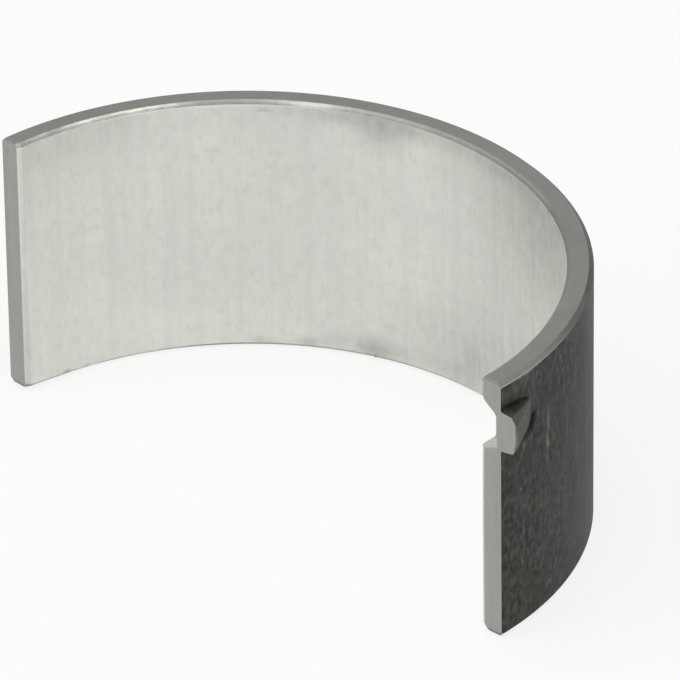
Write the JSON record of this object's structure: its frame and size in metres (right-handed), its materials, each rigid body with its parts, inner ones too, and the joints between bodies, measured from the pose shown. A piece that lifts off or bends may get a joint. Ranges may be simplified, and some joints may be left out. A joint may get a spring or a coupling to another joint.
{
  "type": "engine bearing shell",
  "caption": "Half-round plain bearing shell for a connecting rod: steel strip with a smooth bonded lining, chamfered edges and a locating nib.",
  "frame": {"origin": "middle of the bounding box in plan, in the plane of the lower side face that the shell stands on", "axes": "+Z along the bearing axis, upwards; +Y from the joint faces to the crown of the arc; +X towards the end with the nib"},
  "size_m": [0.0566, 0.0268, 0.0227],
  "materials": {
    "bearing_steel": "fine broached grain, satin; pale grey lining in the bore, darker steel on the back"
  },
  "bodies": {
    "root": {"bearing_shell": "bearing_steel"}
  },
  "joints": []
}
